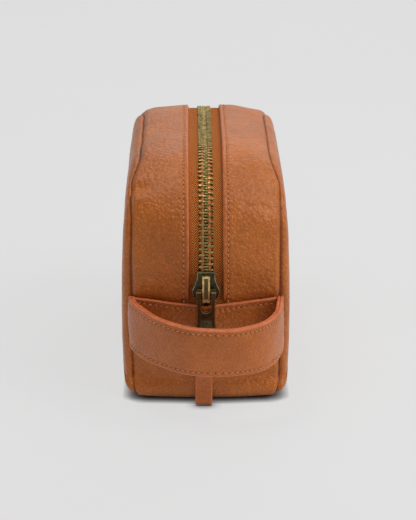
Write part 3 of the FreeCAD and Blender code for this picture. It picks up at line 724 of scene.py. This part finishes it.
def stitch_row(name, here, along, up, template, material):
    """Copies of a stitch at points, each turned along the row and outward."""
    side = unit(np.cross(along, up))
    places = [(np.column_stack([side[k], along[k], up[k]]), here[k]) for k in range(len(here))]
    return copies(name, template, places, (material, "hole"))


def stitches(name, surface, values, length, thick=0.36):
    """A row of stitches on the bag. surface gives a point for a value, and values are their middles."""
    along = unit(surface(values + 0.75) - surface(values - 0.75))
    up = outward_at(surface, values)
    return stitch_row(name, surface(values), along, up, stitch_template(length, thick), "thread_dark")


def stitch_template(length, thick):
    """One arched stitch and the needle hole at its start, whose pit is near black as painted shade."""
    rings = []
    half = ((0.5, -0.45, 0.4), (0.4, 0.0, 0.85), (0.2, 0.22, 1))
    for t, high, size in [(-t, high, size) for t, high, size in half] + list(half[::-1]):
        ring = circle(thick * size, 6, 0.8)
        rings.append(np.column_stack([ring[:, 0], np.full(6, t * length), ring[:, 1] + high]))
    work = np.concatenate(rings + [[r.mean(0)] for r in (rings[0], rings[-1])])
    faces = grid_faces(6, 6, closed_rows=True)
    faces += [(c, (c + 1) % 6, 36) for c in range(6)] + [(30 + (c + 1) % 6, 30 + c, 37) for c in range(6)]
    # The hole's pit gets the near-black material: painted shade in the hole.
    hole, start = circle(0.34, 6), -0.5 * length - 0.22
    flat = np.column_stack([hole[:, 0], hole[:, 1] * 0.9 + start, np.full(6, 0.06)])
    low = np.column_stack([hole[:, 0] * 0.8, hole[:, 1] * 0.6 + start, np.full(6, -0.5)])
    pit = (np.concatenate([flat, low]), grid_faces(2, 6, closed_rows=True) + [tuple(range(6))], [1] * 7)
    return joined((work, faces, [0] * len(faces)), pit)


def outward_at(surface, values):
    """The outward direction for a row of stitches: across the row's own curve, away from the bag."""
    here = surface(values)
    along = unit(surface(values + 0.5) - surface(values - 0.5))
    centre = np.array([0, 0, 60.0]) * np.ones_like(here)
    centre[:, 1] = np.clip(here[:, 1], -HALF_LONG + 35, HALF_LONG - 35)
    away = here - centre
    away[:, 0] *= 0.12
    return unit(away - (away * along).sum(1, keepdims=True) * along)


# ---- side panels

# How far the side panels stand from the middle, by height, and how they roll in from the seam: a share of the
# way out from the seam, and a rise from it.
WIDTH_HEIGHTS = (-5, 2, 6, 11, 18, 32, 50, 68, 92, 110, 119, 126, 131, 134, 138)
WIDTHS = (42.4, 43.5, 44.6, 45.3, 45.9, 46.4, 46.4, 46.1, 45.2, 43.8, 42.6, 41.0, 38.3, 36.8, 35.6)
RIM = ((0, -1.6), (0.08, -0.7), (0.22, 0.0), (0.4, 0.1), (0.58, -0.5), (0.74, -1.6), (0.86, -3.2),
       (0.95, -5.5))


def side_rings(side, inset=0.0):
    """Rings of a side panel from its seam to its middle, moved inward by an inset."""
    sign = SIDES[side]
    s = np.linspace(0, line.length, 300, endpoint=False)
    _, _, ny, nz = line.at(s)
    half = half_width(s)
    seam = body(s, half)
    rings = []
    for share, rise in RIM:
        rise -= inset * 0.6
        y, z = seam[:, 1] + rise * ny, seam[:, 2] + rise * nz
        out = (np.interp(z, WIDTH_HEIGHTS, WIDTHS) - half) * share - inset * min(1, share * 1.6)
        rings.append(np.stack([half + out, y, np.maximum(z, 0.15)], 1))
    middle, last = np.array([0, 0, 64.0]), rings[-1]
    for inward in np.arange(1, 15) / 15:
        ring = middle + (last - middle) * (1, 1 - inward, 1 - inward)
        y, z = ring[:, 1], ring[:, 2]
        waves = 1.44 * inward * ripple(z * 0.8, y, z * 0.7) * sign
        swell = 0.42 * (1 - (1 - inward) ** 2)
        ring[:, 0] = np.interp(z, WIDTH_HEIGHTS, WIDTHS) - inset + (swell + waves) * smooth(inward, 0, 0.2)
        rings.append(ring)
    rings = np.array(rings)
    rings[:, :, 0] *= sign
    return rings


def side_panel(side):
    """One bulged panel of leather, turned in along the side seam, and its lining."""
    outer, inner = side_rings(side), side_rings(side, LEATHER)
    rings = np.concatenate([outer[::-1], inner])
    tags = [0] * len(outer) + [1] * (len(inner) - 1)
    piece = lathe(f"side_panel_{side}_leather", rings, ("leather", "inside"), tags)
    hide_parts(f"side_panel_{side}_lower", f"side_panel_{side}_upper")
    mouth_blend(piece)
    outer, inner = (side_rings(side, LEATHER + gap)[1:] for gap in (LINING_GAP, LINING_GAP + LINING))
    cloth = lathe(f"lining_{side}_cloth", np.concatenate([outer[::-1], inner]), ("lining",), uv=True)
    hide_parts(f"lining_{side}_lower", f"lining_{side}_upper")
    mouth_blend(cloth)


def seam_binding(side):
    """A leather strip folded over the seam's turned-in edges, inside the bag, coloured dark brown as painted
    shade in the seam's groove.
    """
    sign = SIDES[side]
    s = np.linspace(0, line.length, 401)
    path = body(s, sign * (half_width(s) - 0.4), -2.6, 1.8)
    _, _, ny, nz = line.at(s)
    up = np.stack([0 * ny, ny, nz], 1)
    binding = sweep(f"seam_binding_{side}", path, up, circle(1.7, 12, 0.9), ("binding",))
    mouth_blend(binding)


def inner_cloth():
    """Lining of the base strip, and the facings behind the zip tapes."""
    x = np.linspace(-36.5, 36.5, 31)[None, :]
    s = np.linspace(line.front(ZIP_END - 9), line.rear(ZIP_END - 9) - line.length, 150)[:, None]
    uv = np.stack(np.broadcast_arrays(x, s), -1)
    depth = LEATHER + LINING_GAP
    outer, inner = body(s, x, -depth, 0), body(s, x, -depth - LINING, 0)
    cloth = slab("lining_base_cloth", outer, inner, ("lining", "lining"), uv)
    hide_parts("lining_base")
    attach(cloth, "shell")
    for side, sign in SIDES.items():
        x = sign * np.linspace(12, 34.5, 12)[None, :]
        s = np.arange(line.front(ZIP_END - 6), line.rear(ZIP_END - 6), 2.0)[:, None]
        uv = np.stack(np.broadcast_arrays(x, s), -1)
        outer, inner = body(s, x, -4.9, 0), body(s, x, -4.9 - LINING, 0)
        facing = slab(f"zip_facing_{side}_cloth", outer, inner, ("lining", "lining"), uv)
        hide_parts(f"zip_facing_{side}")
        mouth_blend(facing)


def slip_pocket():
    """A cloth pocket on the left wall, slightly slack, with a leather binding along its mouth."""
    low, high = cad("slip_pocket")
    top = cad("pocket_binding")[1][2]
    y, z = np.linspace(low[1], high[1], 41)[:, None], np.linspace(low[2], top - 0.5, 17)[None, :]
    slack, wave = 1.6 * np.cos(y / 60 * math.pi / 2), 0.25 * np.sin(y * 0.21)
    wall = side_rings("left", LEATHER + LINING_GAP + LINING)[-1][:, 0].mean()
    x = wall + 1.4 + slack * smooth(z, low[2], top) + wave * smooth(z, 16, 40)
    front = np.stack(np.broadcast_arrays(x + LINING, y, z), -1)
    back = np.stack(np.broadcast_arrays(x, y, z), -1)
    cloth = slab("slip_pocket_cloth", front, back, ("lining", "lining"), front[:, :, 1:])
    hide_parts("slip_pocket")
    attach(cloth, "shell")
    path = np.column_stack([wall + 1.6 + slack + wave, y, np.full(41, top - 4)])
    outline = np.array(rounded([(-4, -0.9), (4, -0.9), (4, 0.9), (-4, 0.9)], 0.6, 3))[:, ::-1]
    binding = sweep("pocket_binding_leather", path, np.tile([0, 0, 1.0], (41, 1)), outline, ("strap",))
    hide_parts("pocket_binding")
    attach(binding, "shell")


# ---- zip


class ZipLine:
    """The middle of the tape by length: 0 is the middle of the closed slider, and it grows over the top."""

    def __init__(self):
        s = np.linspace(line.front(40), line.rear(40), 3000)
        y, z, ny, nz = line.at(s)
        y, z = y - TAPE_DEPTH * ny, z - TAPE_DEPTH * nz
        length = np.concatenate([[0], np.cumsum(np.hypot(np.diff(y), np.diff(z)))])
        self.s, self.length = s, length - np.interp(line.front(SLIDER_MIDDLE), s, length)

    def place(self, distance):
        """A turn and a position whose own X is across the zip, Y along it and Z outward."""
        s = np.interp(distance, self.length, self.s)
        y, z, ny, nz = line.at(s)
        turn = np.array([[1, 0, 0], [0, nz, ny], [0, -ny, nz]], float)
        return turn, np.array([0, y - TAPE_DEPTH * ny, z - TAPE_DEPTH * nz])


def zip_tape(side):
    """One half's woven tape, and the bead along its edge that the teeth clamp."""
    sign = SIDES[side]
    x = np.array([1.9, 2.3, 3, 4, 5, 6, 7, 8, 9, 10, 12, 14, 16])[None, :]
    s = np.arange(line.front(ZIP_END - 7), line.rear(ZIP_END - 7), 1.6)[:, None]
    edge = 0.25 * np.exp(-((x - 2.4) / 0.5) ** 2)
    outer = body(s, sign * x, -TAPE_DEPTH + 0.3 + edge)
    inner = body(s, sign * x, -TAPE_DEPTH - 0.3 - edge)
    uv = np.stack(np.broadcast_arrays(x, s), -1)
    tape = slab(f"zip_tape_{side}_woven", outer, inner, ("tape", "tape"), uv)
    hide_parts(f"zip_tape_{side}")
    mouth_blend(tape)
    path = body(np.arange(line.front(ZIP_END + 3), line.rear(ZIP_END + 1), 1.2), sign * 1.75, -TAPE_DEPTH)
    up = unit(np.gradient(path, axis=0))
    up = np.stack([0 * up[:, 0], -up[:, 2], up[:, 1]], 1)
    bead = sweep(f"zip_bead_{side}", path, up, circle(0.95, 8), ("bead",), uv=True)
    mouth_blend(bead)


def tooth_template(sign):
    """A tooth: legs over the tape's bead, a head that hooks past the middle, and near-black blocks under them
    as painted shade between the teeth.
    """
    legs = rounded_block((-3.9, -0.68, -1.45), (-1.2, 0.68, 1.5), 0.34, 3)
    neck = rounded_block((-1.9, -0.62, -1.05), (0.95, 0.62, 1.12), 0.3, 2)
    nose = rounded_block((-0.35, -0.5, -0.8), (1.15, 0.5, 0.75), 0.3, 2)
    brass = joined(legs, neck, nose, dome((0.35, 0, 1.0), 0.48))
    # Low blocks in the near-black material: painted shade in the gaps between the teeth.
    shade_blocks = joined(rounded_block((-4.0, -1.35, -1.4), (-2.75, 1.35, 0.35), 0.2, 1),
                  rounded_block((-1.0, -1.2, -1.2), (0.6, 1.2, 0.1), 0.2, 1))
    points, faces, indices = joined(brass, (shade_blocks[0], shade_blocks[1], [1] * len(shade_blocks[1])))
    if sign > 0:
        points = points * (-1, 1, 1)
        faces = [face[::-1] for face in faces]
    return points, faces, indices


def zip_chain():
    """Both rows of teeth, half a pitch apart. It returns the path that they follow."""
    path = ZipLine()
    first, last = -2.6, np.interp(line.rear(ZIP_END + 3), path.s, path.length) - 2 * TOOTH_PITCH
    for side, sign, start in (("left", -1, first), ("right", 1, first + TOOTH_PITCH / 2)):
        places = [path.place(d) for d in np.arange(start, last, TOOTH_PITCH)]
        teeth = copies(f"zip_teeth_{side}_brass", tooth_template(sign), places, ("teeth", "shade"))
        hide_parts(f"zip_teeth_{side}")
        mouth_blend(teeth)
    return path


def mirrored(points):
    """An outline that starts with the right-hand points and goes back over the left."""
    return list(points) + [(-x, y) for x, y in reversed(points)]


def slider(path):
    """The slider at the zip's closed end, its tail up: a body, a bridge over it and the puller."""
    turn, spot = path.place(0)
    place = Matrix.Translation(Vector(spot * MM)) @ Matrix(turn.tolist()).to_4x4()
    for piece in slider_body(place) + slider_bridge(place):
        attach(piece, "slider")
    for piece in puller(place @ Matrix.Translation((0, -2.1 * MM, 4.2 * MM))):
        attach(piece, "puller")


def slider_body(place):
    """Two plates joined by a wedge, with flanges down their sides that hold the teeth in."""
    right = [(4.9, 7.8), (5.0, 3.9), (6.0, 0.9), (7.4, -2.0), (7.6, -4.1), (6.9, -6.0), (5.6, -8.4)]
    outline = rounded(mirrored(right), 0.6)
    wedge = rounded([(1.3, -8.4), (1.3, -5), (0, -3.5), (-1.3, -5), (-1.3, -8.4)], 0.3)
    pieces = [
        plate("slider_upper_plate", [outline], 1.55, 2.9, 0.42, place, ("dark", "rim")),
        plate("slider_lower_plate", [outline], -3.6, -2.25, 0.42, place, ("dark", "rim")),
        plate("slider_wedge", [wedge], -2.6, 1.9, 0.1, place, ("dark", "worn")),
    ]
    for side, sign in SIDES.items():
        wall = [(sign * x, y) for x, y in right[1:] + [(x - 0.8, y) for x, y in reversed(right[1:])]]
        for tag, low, high in (("upper", 0.45, 2.2), ("lower", -2.9, -1.15)):
            name = f"slider_flange_{tag}_{side}"
            pieces.append(plate(name, [wall], low, high, 0.12, place, ("dark", "rim")))
    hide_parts("slider_body")
    return pieces


def slider_bridge(place):
    """A grooved bar over the slider on two legs, which the puller's bar runs under."""

    def ring(half, top, low, radius):
        return rounded([(half, top), (half, low), (-half, low), (-half, top)], radius)

    worn = ("worn", "worn")
    frame_rings = [ring(2.15, 6.7, -8.0, 0.5), ring(0.9, 5.2, -6.5, 0.3)]
    groove = ring(1.1, 5.5, -6.8, 0.3)
    rails = [
        plate("slider_bridge_frame", frame_rings, 5.3, 6.4, 0.34, place, worn),
        plate("slider_bridge_groove", [groove], 5.3, 5.75, 0.05, place, ("bronze", "bronze")),
        plate("slider_bridge_tail_leg", [ring(2.0, 6.65, 5.1, 0.3)], 2.7, 5.7, 0.1, place, worn),
        plate("slider_bridge_nose_leg", [ring(2.0, -6.5, -7.95, 0.3)], 2.7, 5.7, 0.1, place, worn),
    ]
    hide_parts("slider_bridge")
    return rails


def puller(pivot):
    """The puller round its own bar: a plate with a round-ended window, lugs, and a ribbed grip at its end."""
    right = [(4.9, 0.9), (5.4, -0.2), (5.4, -2.2), (5.1, -4.4), (4.8, -8.0), (4.7, -12), (5.0, -18),
             (5.45, -24.5), (5.2, -27.2), (4.0, -28)]
    outline = rounded(mirrored(right), 1.0)
    half, low = 2.75, -9.9
    turns = np.linspace(0.2, math.pi - 0.2, 9)
    arc = [(half * math.cos(turn), low - half * math.sin(turn)) for turn in turns]
    window = [(half, -1.0), (half, low), *arc, (-half, low), (-half, -1.0)]
    pull = [plate("zip_puller_frame", [outline, window], -0.8, 0.8, 0.36, pivot, ("bronze", "rim"))]
    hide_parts("zip_puller")
    across = np.array([(x, 0, 0) for x in np.linspace(-3.4, 3.4, 5)])
    bar = sweep("zip_puller_bar", across, np.tile([0, 0, 1.0], (5, 1)), circle(0.75, 12), ("worn",))
    bar.data.transform(pivot)
    pull.append(bar)
    for tag, sign in SIDES.items():
        lug = [(sign * x, y) for x, y in ((2.75, 1.3), (4.8, 1.3), (5.3, -0.5), (2.75, -0.5))]
        ridge = [(sign * x, y) for x, y in ((2.75, -0.5), (5.5, -0.5), (5.5, -1.15), (2.75, -1.15))]
        pull += [
            plate(f"zip_puller_lug_{tag}", [rounded(lug, 0.3)], 0.4, 1.05, 0.2, pivot, ("patina", "patina")),
            plate(f"zip_puller_ridge_{tag}", [rounded(ridge, 0.2)], 0.4, 1.2, 0.2, pivot, ("worn", "worn")),
        ]
    grip = rounded([(3.5, -16.2), (4.3, -25.6), (-4.3, -25.6), (-3.5, -16.2)], 0.8)
    pull.append(plate("zip_puller_grip", [grip], 0.55, 1.0, 0.18, pivot, ("bronze", "bronze")))
    for k in range(8):
        wide, y = 2.9 + 0.09 * k, -17.0 - 1.05 * k
        rib = rounded([(wide, y), (wide, y - 0.5), (-wide, y - 0.5), (-wide, y)], 0.2, 3)
        pull.append(plate(f"zip_puller_rib_{k}", [rib], 0.9, 1.2, 0.12, pivot, ("bronze", "rim")))
    return pull


def metal_on_cad():
    """The zip's stops and the slider's spring keep their CAD shapes, and get metal."""
    for name, material in (("slider_lock_spring", "dark"), ("zip_top_stop_left", "teeth"),
                           ("zip_top_stop_right", "teeth"), ("zip_bottom_stop", "teeth")):
        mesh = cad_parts[name].data
        mesh.materials.clear()
        mesh.materials.append(mats[material])


# ---- strap and tab


def strap_point(t, v, n):
    """A point on the strap: t from one end to the other, v up its face from its middle, n outward."""
    t, v, n = np.broadcast_arrays(np.asarray(t, float), np.asarray(v, float), np.asarray(n, float))

    def middle(t):
        turn = math.pi * np.clip(t, 0, 1)
        c, s = np.cos(turn), np.maximum(np.sin(turn), 0)
        slant = smooth(c, 0, 1)
        x = -40.4 * np.sign(c) * np.abs(c) ** (0.86 + 0.24 * slant) + 6.0 * s ** 2
        y = -92.4 - 39.4 * s ** (0.86 + 0.30 * slant)
        return np.stack([x, y, STRAP_MIDDLE - 3.6 * s ** 1.5], -1)

    here = middle(t)
    flat = middle(np.clip(t + 1e-3, 0, 1)) - middle(np.clip(t - 1e-3, 0, 1))
    flat[..., 2] = 0
    flat = unit(flat)
    out = np.stack([flat[..., 1], -flat[..., 0], 0 * t], -1)
    lean = math.radians(10) * np.sin(math.pi * np.clip(t, 0, 1)) ** 1.2
    up = np.stack([0 * t, -np.sin(lean), np.cos(lean)], -1)
    out = unit(out - (out * up).sum(-1, keepdims=True) * up)
    return here + v[..., None] * up + n[..., None] * out


def strap_wave(t, v):
    """Soft unevenness of the strap's face."""
    return 0.22 * np.sin(t * 23 + v * 0.15) + 0.15 * np.sin(t * 41 - v * 0.3 + 2)


def strap():
    """A wide strap of two plies, bowed out across the front end, its ends sewn into the side seams."""
    share = np.linspace(0, 1, 121)
    t = (share - 0.08 * np.sin(2 * math.pi * share) / 2)[:, None]
    half = STRAP_HEIGHT / 2
    near = EDGE_STEPS[3:]
    v = np.sort(np.concatenate([near - half, [-4.5, 0, 4.5], half - near]))[None, :]
    d = half - np.abs(v)
    rise = strap_wave(t, v) + 0.5 * np.clip(1 - (v / half) ** 2, 0, 1)
    pieces = []
    for name, sign, cad_nodes in (("strap_outer_ply", 1, ("handle_outer", "handle_end_left")),
                                  ("strap_inner_ply", -1, ("handle_inner", "handle_end_right"))):
        face = strap_point(t, v, sign * (STRAP_PLY + lip(d) * 0.8) + rise)
        back = strap_point(t, v, sign * 0.04 + rise)
        piece = slab(name, face, back, ("strap", "edge", "edge"), rounding=0.34, paint=(0, 0, 2, 2))
        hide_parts(*cad_nodes)
        pieces.append(piece)
    for tag, height in (("top", half - 2.5), ("bottom", 2.5 - half)):

        def seam(length, height=height):
            t = 0.5 + length / 126.0
            return strap_point(t, height, STRAP_PLY + strap_wave(t, height))

        pieces.append(strap_stitches(f"strap_{tag}_stitches", seam, np.arange(-55, 55.1, 2.75)))
    for piece in pieces:
        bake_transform(piece)


def strap_stitches(name, surface, values):
    """A row of stitches on the strap, where outward is away from its bow's middle."""
    here = surface(values)
    along = unit(surface(values + 0.5) - surface(values - 0.5))
    away = here - np.array([0, -92, STRAP_MIDDLE])
    away[:, 2] = 0
    up = unit(away - (away * along).sum(1, keepdims=True) * along)
    return stitch_row(name, here, along, up, stitch_template(2.1, 0.31), "thread")


def grip_tab():
    """A folded strip of leather that hangs from the lower front end, sewn down its middle."""
    low, high = cad("grip_tab_tip")[0][2], cad("grip_tab_sewn")[1][2]
    half = 4.65
    z = np.linspace(low, high, 40)
    y = -HALF_LONG - 1.7 - 1.1 * smooth(z, 14, 2)
    path = np.stack([0.25 * np.sin(z * 0.12) - 1.4, y, z], 1)
    corners = [(-half, -1.35), (half, -1.35), (half, 1.35), (-half, 1.35)]
    outline = np.array(rounded(corners, 0.7, 4))
    painted = np.abs(outline + np.roll(outline, -1, 0))[:, 0] > 2 * half - 1.5
    piece = sweep("grip_tab_leather", path, np.tile([0, -1.0, 0], (40, 1)), outline, ("strap", "edge"))
    tags = np.ones(len(piece.data.polygons), int)
    tags[:(len(path) - 1) * len(outline)] = np.tile(painted, len(path) - 1)
    piece.data.polygons.foreach_set("material_index", tags)
    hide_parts("grip_tab_sewn", "grip_tab_tip")

    def middle(v):
        x = np.interp(v, z, path[:, 0])
        return np.stack([x, np.interp(v, z, y) - 1.3, v], 1)

    values = np.arange(10.0, high - 2, STITCH_PITCH)
    row = stitches("grip_tab_stitches", middle, values, 2.2, 0.4)
    for part in (piece, row):
        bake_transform(part)


# ---- everything


def main():
    """Everything. The zip's chain gives the slider's path."""
    bpy.context.scene.view_settings.view_transform = "Standard"
    add_camera()
    make_materials()
    add_surroundings()
    base_gusset()
    inner_cloth()
    slip_pocket()
    for side in SIDES:
        zip_gusset(side)
        side_panel(side)
        seam_binding(side)
        zip_tape(side)
    slider(zip_chain())
    metal_on_cad()
    strap()
    grip_tab()


main()
